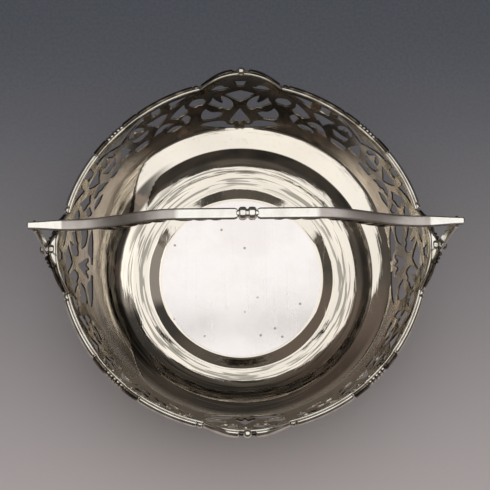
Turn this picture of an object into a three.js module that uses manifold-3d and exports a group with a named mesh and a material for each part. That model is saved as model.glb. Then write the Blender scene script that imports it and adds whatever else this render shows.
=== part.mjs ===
// A round silver sugar basket: a raised bowl with a pierced scroll gallery, an applied rim of
// eight reeded runs, four crests and four corner mounts, a low foot, and a swing handle whose
// legs turn on two ball-headed pins. Millimetres, +Z up, origin under the middle of the foot,
// the pins along X.
import * as THREE from 'three';
import { mergeVertices } from 'three/addons/utils/BufferGeometryUtils.js';
import Module from 'manifold-3d';

const wasm = await Module();
wasm.setup();

// Bowl
const footHeight = 8; // ground to the underside of the bowl
const wall = 1; // thickness of the silver
const bowlDepth = 40; // inside base to the rim's level at a kink
const baseRadius = 28.2; // flat disc in the bottom
const stepRadius = 32.6; // outer edge of the sloping step round the disc
const stepRise = 1.8;
const shoulderRadius = 35.6; // where the curved wall starts
const shoulderRise = 2.3;
const baseLip = 2; // how far the flat underside reaches out past the foot's top
const lowerPull = [0.607, 0.074]; // handles of the wall's curve, as shares of its spread and height
const upperPull = [0.917, 0.569];

// Rim line: the middle of the applied moulding
const rimRadius = 59;
const ovality = 1.2; // how much further the rim reaches along X than along Y
const crestHalfAngle = THREE.MathUtils.degToRad(13.5); // from a crest's apex to its kink
const crestRise = 5.3;
const crestBulge = 1.9;
const runDip = 1.8; // how far the rim sinks from a kink to a corner
const mouldHalfWidth = 1.2;
const mouldHalfHeight = 1;
const cornerHalfAngle = THREE.MathUtils.degToRad(4.6);
const cornerSwell = 1.25; // a corner mount's section against the plain moulding
const cornerBeads = 5;
const crestFullness = 0.12; // how much fuller a crest's moulding is in the middle
const beadRadius = 1.3; // bead on the front and back crests
const beadOut = 0.7; // its middle from the moulding's middle
const beadUp = 0.4;

// Gallery: the pierced band
const fretRadius = 57; // radius on which the outlines' lengths round the bowl are measured
const bandFoot = 26.2; // lowest point of the piercing under the rim's level

// Pivots
const pivotHeight = 5.3; // over the rim's level
const lugLength = 0.65; // length of the lug clear of the wall
const lugRadius = 2;
const pinRadius = 0.7;
const pinHeadRadius = 1.25;
const pinSeatDepth = 2.1;

// Handle
const handleTop = 48.3; // middle of the bar over the rim's level
const shoulderDrop = 11.6; // from the flat top down to the outer ends of the bar
const flatHalf = 21; // half of the flat top
const slopeEnd = 54.5; // where the slope has reached the outer ends' level
const barOverhang = 2.4; // from the leg's middle out to the bar's tip
const barHalfThickness = 0.95;
const barHalfWidth = 1.75;
const barTipHalfWidth = 1.1;
const legThickness = 1;
const legHalfWidth = 1.75;
const legLean = 0.8; // how far the leg's top stands out from its eye
const eyeRadius = 2;
const strapChamfer = 0.3; // along the corners of bar, legs and tongues
const collarHalfLength = 2.75;
const collarRadius = 2.1;
const collarGroove = 1.65;
const tenonHalfWidth = 0.8;
const tenonHalfThickness = 0.6;

// Foot
const footTopInner = 25.2;
const footTopOuter = 28;
const footSpread = 35.6;
const footLand = 3; // width of the flat ring that it stands on
const footEdge = 1;

// Clearances
const seatGap = 0.3; // between pieces that lie on or against each other
const runningGap = 0.3; // round a pin, and beside an eye

// Facets
const crestSegments = 2; // round the bowl, from a crest's apex to its kink
const runSegments = 4; // from a kink to the middle of a corner
const insideSteps = 7; // up the wall
const outsideSteps = 6;
const runSteps = 6;
const crestSteps = 9; // odd, so that no ring falls on the plane of the pin or bead
const bowSteps = 22;
const legSteps = 3;
const reedSteps = 4;
const ballSteps = 7;
const footSteps = 4;
const footFacets = 40;
const roundFacets = 20; // lugs, eyes and the collar
const smallFacets = 12; // pins, their holes and the beads

const rimLevel = footHeight + wall + bowlDepth;
const pivotLevel = rimLevel + pivotHeight;
const insideBase = footHeight + wall;
const pinHoleRadius = pinRadius + runningGap;
const ovalStretch = 1 + ovality / rimRadius; // of the rim, along X
const crestOutside = (rimRadius + crestBulge + wall / 2) * ovalStretch; // the wall at a side crest
const lugRoot = crestOutside + seatGap;
const lugFace = lugRoot + lugLength;
const eyeMiddle = lugFace + runningGap + legThickness / 2;
const barEnd = eyeMiddle + legLean + barOverhang;
const pinHeadMiddle = eyeMiddle + legThickness / 2 + runningGap + pinHeadRadius;
const quarterTurn = Math.PI / 2;
const halfGapAngle = seatGap / 2 / rimRadius;

const silver = { color: 0xd8d5cc, roughness: 0.16, metalness: 1 };
const whiteSilver = { color: 0xe6e2da, roughness: 0.3, metalness: 1 };
const darkSilver = { color: 0xa9a59c, roughness: 0.24, metalness: 1 };

const basket = new THREE.Group();

// Adds one finished piece under its name.
function add(name, geometry, look) {
  const mesh = new THREE.Mesh(geometry, new THREE.MeshStandardMaterial(look));
  mesh.name = name;
  geometry.computeVertexNormals();
  basket.add(mesh);
}

// Moves every vertex of a geometry by a function that changes the vector it is given.
function reshaped(geometry, move) {
  const positions = geometry.attributes.position;
  const vertex = new THREE.Vector3();
  for (let i = 0; i < positions.count; i += 1) {
    move(vertex.fromBufferAttribute(positions, i));
    positions.setXYZ(i, vertex.x, vertex.y, vertex.z);
  }
  return geometry;
}

// Merges a closed geometry's shared vertices, drops flat triangles and turns its faces outwards.
function welded(geometry) {
  const bare = geometry.index ? geometry.clone() : geometry;
  bare.deleteAttribute('normal');
  bare.deleteAttribute('uv');
  const merged = mergeVertices(bare, 1e-4);
  const kept = [];
  const corners = [new THREE.Vector3(), new THREE.Vector3(), new THREE.Vector3()];
  let volume = 0;
  for (let i = 0; i < merged.index.count; i += 3) {
    const [a, b, c] = [0, 1, 2].map((k) => merged.index.getX(i + k));
    if (a === b || b === c || c === a) continue;
    kept.push(a, b, c);
    [a, b, c].forEach((v, k) => corners[k].fromBufferAttribute(merged.attributes.position, v));
    volume += corners[0].dot(corners[1].cross(corners[2]));
  }
  if (volume < 0) kept.reverse();
  merged.setIndex(kept);
  return merged;
}

function solid(geometry) {
  const closed = welded(geometry);
  return new wasm.Manifold(new wasm.Mesh({
    numProp: 3,
    vertProperties: new Float32Array(closed.attributes.position.array),
    triVerts: new Uint32Array(closed.index.array),
  }));
}

function geometryOf(body) {
  const mesh = body.getMesh();
  const geometry = new THREE.BufferGeometry();
  geometry.setAttribute('position', new THREE.BufferAttribute(mesh.vertProperties, 3));
  geometry.setIndex(new THREE.BufferAttribute(mesh.triVerts, 1));
  return geometry;
}

// Turns a geometry made round Y so that its axis is Z, or X.
function aboutZ(geometry) {
  return geometry.rotateX(quarterTurn);
}

function aboutX(geometry) {
  return geometry.rotateZ(-quarterTurn);
}

function polygon(points) {
  return new THREE.Shape(points.map(([x, y]) => new THREE.Vector2(x, y)));
}

// Lengthens an outline into a straight bar along Z from 0 to 1, in equal steps.
function bar(section, steps) {
  return new THREE.ExtrudeGeometry(section, { depth: 1, steps, bevelEnabled: false });
}

// Signed angle from the nearest crest's apex.
function fromCrest(angle) {
  return angle - Math.round(angle / quarterTurn) * quarterTurn;
}

// 1 at a crest's apex, 0 from its kinks outwards.
function crestHeight(angle) {
  const share = fromCrest(angle) / crestHalfAngle;
  return Math.max(0, 1 - share * share);
}

// 0 at a kink, 1 at a corner.
function cornerSag(angle) {
  const past = Math.abs(fromCrest(angle)) - crestHalfAngle;
  if (past <= 0) return 0;
  return (1 - Math.cos((Math.PI * past) / (Math.PI / 4 - crestHalfAngle))) / 2;
}

function rimRise(angle) {
  return crestRise * crestHeight(angle) - runDip * cornerSag(angle);
}

// Draws a point out along X, by its height: the base is round and the rim a little oval.
function oval(vertex) {
  const share = THREE.MathUtils.clamp((vertex.z - insideBase) / bowlDepth, 0, 1);
  vertex.x *= 1 + (ovalStretch - 1) * share;
  return vertex;
}

function rimPoint(angle, out, up) {
  const radius = rimRadius + crestBulge * crestHeight(angle) + out;
  const height = rimLevel + rimRise(angle) + up;
  const place = new THREE.Vector3(radius * Math.cos(angle), radius * Math.sin(angle), height);
  place.x *= ovalStretch;
  return place;
}

// The wall's inside curve, from the shoulder up to the rim, as radius and height.
const wallTop = rimLevel - mouldHalfHeight - seatGap;
const wallFoot = new THREE.Vector2(shoulderRadius, insideBase + shoulderRise);
const wallHead = new THREE.Vector2(rimRadius - wall / 2, wallTop);
const wallSpan = wallHead.clone().sub(wallFoot);
const [lowerHandle, upperHandle] = [lowerPull, upperPull].map(([out, up]) => (
  new THREE.Vector2(out, up).multiply(wallSpan).add(wallFoot)
));
const wallCurve = new THREE.CubicBezierCurve(wallFoot, lowerHandle, upperHandle, wallHead);

// The bowl's profile: up the inside and down the outside, both ends on the axis.
function bowlProfile() {
  const inside = wallCurve.getPoints(insideSteps);
  const outside = [];
  for (let i = outsideSteps; i >= 0; i -= 1) {
    const share = i / outsideSteps;
    const along = wallCurve.getTangent(share);
    const out = new THREE.Vector2(along.y, -along.x).multiplyScalar(wall);
    if (i === outsideSteps) out.set(wall, 0);
    outside.push(wallCurve.getPoint(share).add(out));
  }
  return [
    new THREE.Vector2(0, insideBase),
    new THREE.Vector2(baseRadius, insideBase),
    new THREE.Vector2(stepRadius, insideBase + stepRise),
    ...inside,
    ...outside,
    new THREE.Vector2(footTopOuter + baseLip, footHeight),
    new THREE.Vector2(0, footHeight),
  ];
}

const segmentsToCorner = crestSegments + runSegments;

// Moves evenly spaced angles so that the kinks and the corners fall on a segment.
function spacedAngle(even) {
  const fromApex = fromCrest(even);
  const count = (Math.abs(fromApex) / (Math.PI / 4)) * segmentsToCorner;
  const inCrest = (crestHalfAngle * Math.min(count, crestSegments)) / crestSegments;
  const runAngle = Math.PI / 4 - crestHalfAngle;
  const inRun = (runAngle * Math.max(0, count - crestSegments)) / runSegments;
  return even - fromApex + Math.sign(fromApex) * (inCrest + inRun);
}

// The top of the wall follows the crests and the dips of the rim.
function followRim(vertex) {
  const angle = spacedAngle(Math.atan2(vertex.y, vertex.x));
  const bandBottom = rimLevel - bandFoot;
  const share = Math.max(0, (vertex.z - bandBottom) / (wallTop - bandBottom));
  const radius = Math.hypot(vertex.x, vertex.y) + crestBulge * crestHeight(angle) * share;
  const height = vertex.z + rimRise(angle) * share;
  oval(vertex.set(radius * Math.cos(angle), radius * Math.sin(angle), height));
}

// Openings of the gallery, each as [length round the bowl from the crest's axis, height over the
// rim's level]. Those on an axis are whole; the others are mirrored about the crest's axis.
const onCrestAxis = {
  crown: [[-2.9, 1.6], [-1.5, -2.2], [1.5, -2.2], [2.9, 1.6]],
  diamond: [[0, -4.6], [-4.8, -6.4], [-2, -10], [0, -12.4], [2, -10], [4.8, -6.4]],
  spade: [[0, -14.6], [-2.8, -18.4], [-4.2, -21.4], [0, -22.6], [4.2, -21.4], [2.8, -18.4]],
};
const besideCrest = {
  lens: [[3.6, -3.4], [5.4, -1.3], [7.4, -1.2], [10.2, -3.8], [6.4, -4.9]],
  scroll: [[6.2, -8], [3.4, -10.4], [2.6, -13.6], [5.2, -17.2], [7.8, -15.6], [8.6, -13.2],
    [10.2, -10]],
  under_scroll: [[7.4, -18.6], [9.8, -18.8], [13.4, -14.8], [14.4, -20.8], [8, -20.8]],
  kink_eye: [[11.8, -9.6], [13.8, -7.6], [17.4, -8.6], [16.4, -11.6], [13, -11.4]],
  crescent: [[2, -23.9], [8, -23.3], [15.2, -22], [9, -25.1], [2.2, -26]],
  rail_wedge: [[15.8, -3.6], [20.4, -5.4], [25, -7.3], [25.1, -3.8]],
  rail_slot: [[27, -3.9], [27.6, -6.6], [31.8, -6.4], [32.3, -4.2]],
  kite: [[19.2, -8.9], [19.6, -12.4], [22.6, -15.2], [25, -13.2]],
  flag: [[25.6, -10], [28.6, -13], [30.8, -15], [31.8, -12.6], [33.4, -10.8]],
  leaf_eye: [[18, -16.6], [19.6, -19], [21.4, -16.2]],
  wave: [[24.8, -16.4], [29, -18.2], [33, -19], [31.6, -16.8], [28.2, -15]],
  volute_arch: [[35.4, -12], [36.7, -11.9], [38.2, -10.8], [39.7, -11.9], [41, -12],
    [40.4, -9], [36, -9]],
  volute_cup: [[33.8, -13.4], [35.2, -16], [39, -16], [40.4, -13.3]],
};
const onCornerAxis = {
  gull: [[-11.4, -4.2], [-4.6, -8.2], [0, -10.6], [4.6, -8.2], [11.4, -4.2], [4.6, -6.2],
    [0, -8.4], [-4.6, -6.2]],
  tooth: [[0, -12], [-2.6, -16.6], [0, -17.4], [2.6, -16.6]],
};

// A cutter through the wall: the outline stood upright on a circle and pushed out through it.
function cutter(outline, axisAngle, mirror) {
  const innerReach = shoulderRadius;
  const outerReach = rimRadius + crestBulge + 2 * wall;
  return solid(reshaped(bar(polygon(outline), 1), (vertex) => {
    const angle = axisAngle + (mirror * vertex.x) / fretRadius;
    const radius = innerReach + (outerReach - innerReach) * vertex.z;
    const height = rimLevel + vertex.y;
    oval(vertex.set(radius * Math.cos(angle), radius * Math.sin(angle), height));
  }));
}

function bowl() {
  let body = solid(reshaped(
    aboutZ(new THREE.LatheGeometry(bowlProfile(), 8 * segmentsToCorner, quarterTurn)),
    followRim,
  ));
  for (let quarter = 0; quarter < 4; quarter += 1) {
    const crest = quarter * quarterTurn;
    const corner = crest + quarterTurn / 2;
    const cutters = [
      ...Object.values(onCrestAxis).map((outline) => cutter(outline, crest, 1)),
      ...Object.values(onCornerAxis).map((outline) => cutter(outline, corner, 1)),
      ...Object.values(besideCrest).map((outline) => cutter(outline, crest, 1)),
      ...Object.values(besideCrest).map((outline) => cutter(outline, crest, -1)),
    ];
    cutters.forEach((tool) => { body = body.subtract(tool); });
  }
  return geometryOf(body);
}

// The applied moulding's section, as [out, up] from the rim line: a reed outside, a bead inside.
const mouldSection = [
  [-mouldHalfWidth, -mouldHalfHeight],
  [0.85 * mouldHalfWidth, -mouldHalfHeight],
  [mouldHalfWidth, -0.3 * mouldHalfHeight],
  [0.8 * mouldHalfWidth, 0.6 * mouldHalfHeight],
  [0.25 * mouldHalfWidth, mouldHalfHeight],
  [-0.35 * mouldHalfWidth, 0.7 * mouldHalfHeight],
  [-mouldHalfWidth, 0.45 * mouldHalfHeight],
];

// A length of moulding along the rim line; its section swells with the place, 0 to 1, along it.
function moulding(fromAngle, toAngle, steps, swell) {
  return reshaped(bar(polygon(mouldSection), steps), (vertex) => {
    const size = swell(vertex.z);
    const lift = mouldHalfHeight * (size - 1); // a swollen section still sits on the wall
    const angle = fromAngle + (toAngle - fromAngle) * vertex.z;
    vertex.copy(rimPoint(angle, vertex.x * size, vertex.y * size + lift));
  });
}

const plain = () => 1;

// A corner mount: a row of beads, largest in the middle.
function cornerMount(corner) {
  const endShare = 0.4; // the outermost beads' swell against the middle one's
  const swell = (place) => {
    const bead = Math.abs(Math.sin(Math.PI * cornerBeads * place));
    const share = endShare + (1 - endShare) * Math.sin(Math.PI * place);
    return 1 + (cornerSwell - 1) * share * bead;
  };
  const half = cornerHalfAngle - halfGapAngle;
  return welded(moulding(corner - half, corner + half, 2 * cornerBeads, swell));
}

// A crest mount: the moulding over the crest, a little fuller in the middle.
function crestMoulding(crest) {
  const half = crestHalfAngle - halfGapAngle;
  const swell = (place) => 1 + crestFullness * Math.sin(Math.PI * place);
  return solid(moulding(crest - half, crest + half, crestSteps, swell));
}

// A front or back crest, with the bead on its apex.
function beadCrest(crest) {
  const bead = new THREE.SphereGeometry(beadRadius, smallFacets, ballSteps);
  bead.translate(...rimPoint(crest, beadOut, beadUp).toArray());
  return geometryOf(crestMoulding(crest).add(solid(bead)));
}

// A cylinder along X from one place to another, on the pivots' axis.
function onPivot(radius, fromX, toX, facets) {
  const length = Math.abs(toX - fromX);
  const cylinder = aboutX(new THREE.CylinderGeometry(radius, radius, length, facets));
  return cylinder.translate((fromX + toX) / 2, 0, pivotLevel);
}

// A side crest carries the lug that the pin is riveted into; the lug stands clear of the wall.
function pivotCrest(side) {
  const crest = side > 0 ? 0 : Math.PI;
  const seatEnd = lugFace - pinSeatDepth;
  const lug = onPivot(lugRadius, side * lugRoot, side * lugFace, roundFacets);
  const seat = onPivot(pinHoleRadius, side * seatEnd, side * eyeMiddle, smallFacets);
  return geometryOf(crestMoulding(crest).add(solid(lug)).subtract(solid(seat)));
}

// A pin: a shaft with a ball on its outer end.
function pivotPin(side) {
  const shaftEnd = lugFace - pinSeatDepth + seatGap;
  const neck = pinHeadMiddle - Math.sqrt(pinHeadRadius ** 2 - pinRadius ** 2);
  const profile = [new THREE.Vector2(0, shaftEnd), new THREE.Vector2(pinRadius, shaftEnd)];
  const start = Math.asin(pinRadius / pinHeadRadius);
  profile.push(new THREE.Vector2(pinRadius, neck));
  for (let i = 1; i <= ballSteps; i += 1) {
    const turn = start + ((Math.PI - start) * i) / ballSteps;
    const radius = i === ballSteps ? 0 : pinHeadRadius * Math.sin(turn);
    profile.push(new THREE.Vector2(radius, pinHeadMiddle - pinHeadRadius * Math.cos(turn)));
  }
  const pin = aboutX(new THREE.LatheGeometry(profile, smallFacets));
  pin.scale(side, 1, 1);
  return welded(pin.translate(0, 0, pivotLevel));
}

// Height of the handle bar's middle over the rim's level, at a distance from the collar.
function bowHeight(x) {
  const share = THREE.MathUtils.clamp((x - flatHalf) / (slopeEnd - flatHalf), 0, 1);
  return handleTop - (shoulderDrop * (1 - Math.cos(Math.PI * share))) / 2;
}

// Half the bar's width, seen from above: narrow at the tip and full along the slope.
function bowHalfWidth(x) {
  const toTip = THREE.MathUtils.smoothstep(x, slopeEnd, barEnd);
  return barHalfWidth + (barTipHalfWidth - barHalfWidth) * toTip;
}

// A rectangle with its corners cut, as a section of [across, through].
function softRectangle(halfWidth, halfThickness) {
  const cut = strapChamfer;
  const w = halfWidth;
  const t = halfThickness;
  return [[w - cut, -t], [w, -t + cut], [w, t - cut], [w - cut, t], [cut - w, t], [-w, t - cut],
    [-w, -t + cut], [cut - w, -t]];
}

// One half of the bow, from the collar to its tip.
function halfBar(side) {
  const start = collarHalfLength + seatGap;
  const unit = polygon(softRectangle(1, barHalfThickness));
  return solid(reshaped(bar(unit, bowSteps), (vertex) => {
    const x = start + (barEnd - start) * vertex.z;
    const up = rimLevel + bowHeight(x) + vertex.y;
    vertex.set(side * x, vertex.x * bowHalfWidth(x), up);
  }));
}

// The tongue by which a half of the bow enters the collar.
function tenon(side) {
  const reach = collarHalfLength + 2 * seatGap;
  const tongue = polygon(softRectangle(tenonHalfWidth, tenonHalfThickness));
  return solid(reshaped(bar(tongue, 1), (vertex) => {
    const x = seatGap / 2 + (reach - seatGap / 2) * vertex.z;
    vertex.set(side * x, vertex.x, rimLevel + handleTop + vertex.y);
  }));
}

// A leg: a flat strap from its eye up into the bar, leaning a little outwards.
function leg(side) {
  const top = rimLevel + bowHeight(barEnd) - barHalfThickness / 2;
  const strap = polygon(softRectangle(legThickness / 2, legHalfWidth));
  return solid(reshaped(bar(strap, legSteps), (vertex) => {
    const x = eyeMiddle + legLean * vertex.z + vertex.x;
    vertex.set(side * x, vertex.y, pivotLevel + (top - pivotLevel) * vertex.z);
  }));
}

function handleHalf(side) {
  const half = legThickness / 2;
  const eye = onPivot(eyeRadius, side * (eyeMiddle - half), side * (eyeMiddle + half), roundFacets);
  const hole = onPivot(pinHoleRadius, side * lugFace, side * pinHeadMiddle, smallFacets);
  const body = halfBar(side).add(tenon(side)).add(leg(side)).add(solid(eye));
  return geometryOf(body.subtract(solid(hole)));
}

// The collar: a sleeve of two reeds with a square way through it for the tongues.
function collar() {
  const profile = [new THREE.Vector2(0, -collarHalfLength)];
  for (let i = 0; i <= 2 * reedSteps; i += 1) {
    const reed = i < reedSteps ? 0 : 1;
    const turn = (Math.PI * (i - reed * reedSteps)) / reedSteps;
    const radius = collarGroove + (collarRadius - collarGroove) * Math.sin(turn);
    const place = (collarHalfLength / 2) * (2 * reed - 1 - Math.cos(turn));
    profile.push(new THREE.Vector2(radius, place));
  }
  profile.push(new THREE.Vector2(0, collarHalfLength));
  const sleeve = solid(aboutX(new THREE.LatheGeometry(profile, roundFacets)));
  const way = solid(new THREE.BoxGeometry(
    4 * collarHalfLength,
    2 * (tenonHalfWidth + seatGap),
    2 * (tenonHalfThickness + seatGap),
  ));
  return geometryOf(sleeve.subtract(way)).translate(0, 0, rimLevel + handleTop);
}

// The foot: a low collar spreading to a flat ring.
function foot() {
  const top = footHeight - seatGap;
  const ringInner = footSpread - footLand;
  const outside = new THREE.QuadraticBezierCurve(
    new THREE.Vector2(footTopOuter, top),
    new THREE.Vector2(footTopOuter, footEdge),
    new THREE.Vector2(footSpread, footEdge),
  );
  const inside = new THREE.QuadraticBezierCurve(
    new THREE.Vector2(ringInner, 0),
    new THREE.Vector2(footTopInner, 0),
    new THREE.Vector2(footTopInner, top),
  );
  const profile = [
    ...outside.getPoints(footSteps),
    new THREE.Vector2(footSpread, 0),
    ...inside.getPoints(footSteps),
    new THREE.Vector2(footTopOuter, top),
  ];
  return welded(aboutZ(new THREE.LatheGeometry(profile, footFacets)));
}

add('bowl', bowl(), silver);
add('foot', foot(), darkSilver);

// Runs, corner mounts and front and back crests, in order round the rim.
const corners = ['back_right', 'back_left', 'front_left', 'front_right'];
corners.forEach((name, index) => {
  const corner = Math.PI / 4 + index * quarterTurn;
  const near = cornerHalfAngle + halfGapAngle;
  const far = Math.PI / 4 - crestHalfAngle - halfGapAngle;
  const clockwise = moulding(corner - far, corner - near, runSteps, plain);
  const onward = moulding(corner + near, corner + far, runSteps, plain);
  add(`rim_run_${name}_1`, welded(clockwise), silver);
  add(`corner_mount_${name}`, cornerMount(corner), whiteSilver);
  add(`rim_run_${name}_2`, welded(onward), silver);
});
add('crest_mount_back', beadCrest(quarterTurn), whiteSilver);
add('crest_mount_front', beadCrest(-quarterTurn), whiteSilver);

const sides = { left: -1, right: 1 };
Object.entries(sides).forEach(([name, side]) => {
  add(`pivot_crest_${name}`, pivotCrest(side), whiteSilver);
  add(`pivot_pin_${name}`, pivotPin(side), darkSilver);
  add(`handle_half_${name}`, handleHalf(side), silver);
});
add('handle_collar', collar(), whiteSilver);

export default basket;
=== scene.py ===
"""A round silver sugar basket with a pierced scroll gallery and a swing handle.

Lengths are millimetres until a mesh is made, and metres in the materials. The frame's origin is
under the middle of the foot, the handle's pivots lie along X, and the photograph is taken from -Y.
"""
import math

import bmesh
import bpy
import numpy as np
from mathutils import Matrix, Vector
from mathutils.geometry import delaunay_2d_cdt


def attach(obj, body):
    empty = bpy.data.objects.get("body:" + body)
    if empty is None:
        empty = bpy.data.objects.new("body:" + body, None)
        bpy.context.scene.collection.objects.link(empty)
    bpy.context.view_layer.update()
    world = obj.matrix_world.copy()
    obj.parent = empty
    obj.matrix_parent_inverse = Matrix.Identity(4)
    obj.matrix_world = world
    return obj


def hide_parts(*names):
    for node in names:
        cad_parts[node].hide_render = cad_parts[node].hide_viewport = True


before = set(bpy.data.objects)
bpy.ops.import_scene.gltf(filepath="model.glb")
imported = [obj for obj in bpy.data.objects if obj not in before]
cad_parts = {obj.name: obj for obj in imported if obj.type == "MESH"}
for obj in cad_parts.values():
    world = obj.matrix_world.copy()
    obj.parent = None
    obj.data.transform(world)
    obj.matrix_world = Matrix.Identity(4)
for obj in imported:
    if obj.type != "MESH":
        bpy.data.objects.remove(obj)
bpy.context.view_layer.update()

MM = 0.001
SIDES = (("right", 1), ("left", -1))
QUARTERS = ("back_right", "back_left", "front_left", "front_right")

# Bowl
RIM_LEVEL = 49.0
INSIDE_BASE = 9.0
UNDERSIDE = 8.0
WALL = 1.0
WALL_CURVE = np.array([(35.6, 11.3), (49.5, 14.0), (56.6, 32.0), (58.5, 47.7)])
WALL_TOP = -1.3  # over the rim's level, as are the next two
BAND_BOTTOM = -26.2
SHEET_BOTTOM = -27.5  # where the pierced sheet meets the plain spun bowl
SHEET = 0.6  # thickness of the pierced sheet
SHOULDER_LOW = 16.6  # the even, softly lit shoulder between here and the gallery
SHOULDER_HIGH = 24.5
SHOULDER_TILT = 20  # degrees, at its lower edge
LEFT_DROP_LOW = 4.7  # how much lower the shoulder's edges lie on the left
LEFT_DROP_HIGH = 9.8
FRET_RADIUS = 57.0
CORNER_S = FRET_RADIUS * math.pi / 4

# Rim
RIM_RADIUS = 59.0
OVAL_STRETCH = 1 + 1.2 / RIM_RADIUS  # the rim reaches 1.2 further along X than along Y
CREST_HALF = math.radians(13.5)
CREST_RISE = 5.3
CREST_BULGE = 1.9
RUN_DIP = 1.8
KINK_S = FRET_RADIUS * CREST_HALF
MOUNT_HALF = FRET_RADIUS * math.radians(4.6)
CREST_GAP = 0.12  # between a crest's end and its kink, and between the kink and the run
MOUNT_GAP = 0.03
RUN_START = 15.3  # where the long reed starts, from the crest's axis
RUN_BAR = 35.2  # where the smooth bar takes over from it
DARK_REACH = 12.6  # how far from its axis a dark crest is painted dark, as dark reflection
FRONT_DARK_REACH = 2.6

# Pivots and handle
PIVOT_LEVEL = RIM_LEVEL + CREST_RISE
LENS_HALF = 4.9
LENS_ROOT = 61.3
EAR_HALF = 0.19
EAR_TIP = 65.0
LUG_FACE = 63.6
EYE_MIDDLE = 64.4
EYE_HALF = 0.5
EYE_RADIUS = 2.0
PIN_RADIUS = 0.7
BALL_RADIUS = 1.4
BALL_HALF = 0.9  # along its pin
BALL_MIDDLE = 65.85
HANDLE_TOP = RIM_LEVEL + 48.3
SHOULDER_DROP = 11.6
FLAT_HALF = 21.0
SLOPE_END = 54.5
BAR_END = 67.6
BAR_START = 3.05
BAR_HALF_WIDTH = 1.75
BAR_TIP_HALF_WIDTH = 1.1
BAR_HALF_THICKNESS = 0.95
BAR_ROUND = 0.8  # length of its rounded tip
LEG_LEAN = 0.8
COLLAR_HALF = 2.75
COLLAR_RADIUS = 2.1
COLLAR_GROOVE = 1.45
REED_MIDDLE = 1.42
REED_HALF = 1.2

# Meshing
EDGE_STEP = 0.5
GRID_STEP = 1.1
EDGE_CLEARANCE = 0.5
BEVEL = 0.13
SEGMENTS_PER_SECTOR = 40
RING = 8 * SEGMENTS_PER_SECTOR

# Openings beside a crest's axis, as (length round the bowl, height over the rim's level); a third
# number marks a sharp corner. They are mirrored about the axis.
BESIDE_CREST = {
    "lens": [(3.2, -3.7, 1), (5, -3.6), (5.7, -2.7), (6.6, -2.2), (8, -2.4), (8.9, -3.2),
             (10.2, -4.2, 1), (8.6, -4.9), (6.2, -5.1), (4.2, -4.7)],
    "scroll": [(6.4, -8.4, 1), (4.6, -9.8), (3.1, -11.6), (2.5, -13.3), (2.7, -14.8), (3.4, -15.9),
               (4.3, -16.2), (5.2, -15.7), (6.2, -15), (7.4, -15.2), (8, -14.2), (9.3, -13.2),
               (10.9, -11.8, 1), (9.9, -10.6), (9.3, -8.9, 1), (8.5, -10.4), (7.3, -11.8),
               (6.3, -12.5), (5.8, -11.9), (6.3, -10.2)],
    "under_scroll": [(6.2, -17.8, 1), (8, -17), (9.6, -16.9), (11, -16), (12.1, -14.4, 1),
                     (13.4, -15.8), (14, -17.6), (13.6, -19.6, 1), (12, -20.2), (10, -20.3),
                     (8.4, -20), (7.3, -19.2)],
    "kink_eye": [(11.9, -9.8, 1), (12.6, -8.2), (14.2, -7.4), (16.2, -7.6), (17.7, -9.5, 1),
                 (16.9, -10.9), (15.6, -11.9), (14.4, -11.4), (13, -11.5)],
    "crescent": [(2.1, -23.9, 1), (4.4, -23.4), (5.6, -21.9), (8, -21.4), (12, -21.3),
                 (15.1, -21.7, 1), (13, -22.9), (11, -23.7), (8, -24.4), (5, -24.8),
                 (2.2, -25, 1)],
    "rail_wedge": [(15.6, -3.6, 1), (18.6, -3.7), (22, -3.8), (24.6, -4, 1), (24, -5.9),
                   (24.2, -8.2, 1), (22.4, -7.2), (20.2, -5.8), (17.8, -4.5)],
    "rail_slot": [(27.1, -4.1, 1), (29.2, -4.1), (31.2, -4.3, 1), (30.8, -5.6), (31.2, -7.4, 1),
                  (29.2, -7.8), (27.3, -7.5, 1), (27.7, -5.8)],
    "kite": [(19.3, -8.4, 1), (21.2, -9.9), (23.2, -11.6), (25.2, -13.6, 1), (23.8, -14.3),
             (22.6, -15.4, 1), (21.4, -14.6), (19.8, -14.2), (18.5, -12.6), (19.3, -10.6)],
    "flag": [(25.7, -10, 1), (28, -9.6), (30.8, -9.9), (33.7, -9.9, 1), (32.8, -11.6),
             (31.6, -13), (30.2, -15, 1), (29.2, -14.2), (28, -13.2), (26.8, -11.8)],
    "leaf_eye": [(18, -16.7, 1), (18.8, -15.3), (20, -15), (21.3, -16.2, 1), (20.6, -17.6),
                 (20, -18.8, 1), (18.8, -18.3)],
    "wave": [(24.7, -16.6, 1), (26.2, -15.5), (28.2, -15.1), (30.2, -15.8), (31.6, -17),
             (33.2, -19, 1), (31.4, -18.4), (29.4, -18.3), (28, -17.3), (26.4, -17.4)],
    "volute_arch": [(35.5, -12.3, 1), (35.3, -10.5), (36.5, -8.9), (38.3, -8.3), (40.1, -8.9),
                    (41.1, -10.5), (41, -12.1, 1), (39.9, -11.9), (39.2, -10.7), (38.2, -10.3),
                    (37.2, -10.8), (36.8, -12)],
    "volute_cup": [(33.8, -13.3, 1), (36, -13.6), (38.2, -13.8), (40.4, -13.2, 1), (40.2, -14.9),
                   (38.8, -16.1), (36.8, -16.4), (34.8, -15.5)],
    "low_leaf": [(21.6, -19.3, 1), (23.4, -18.5), (25.2, -18.4), (27, -19), (28.4, -19.9, 1),
                 (25, -20.3)],
    "low_slot": [(34.9, -18.1, 1), (38, -17.7), (41.3, -17.9, 1), (41.1, -19.4, 1),
                 (38, -19.6), (35.5, -19.4, 1)],
}

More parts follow.
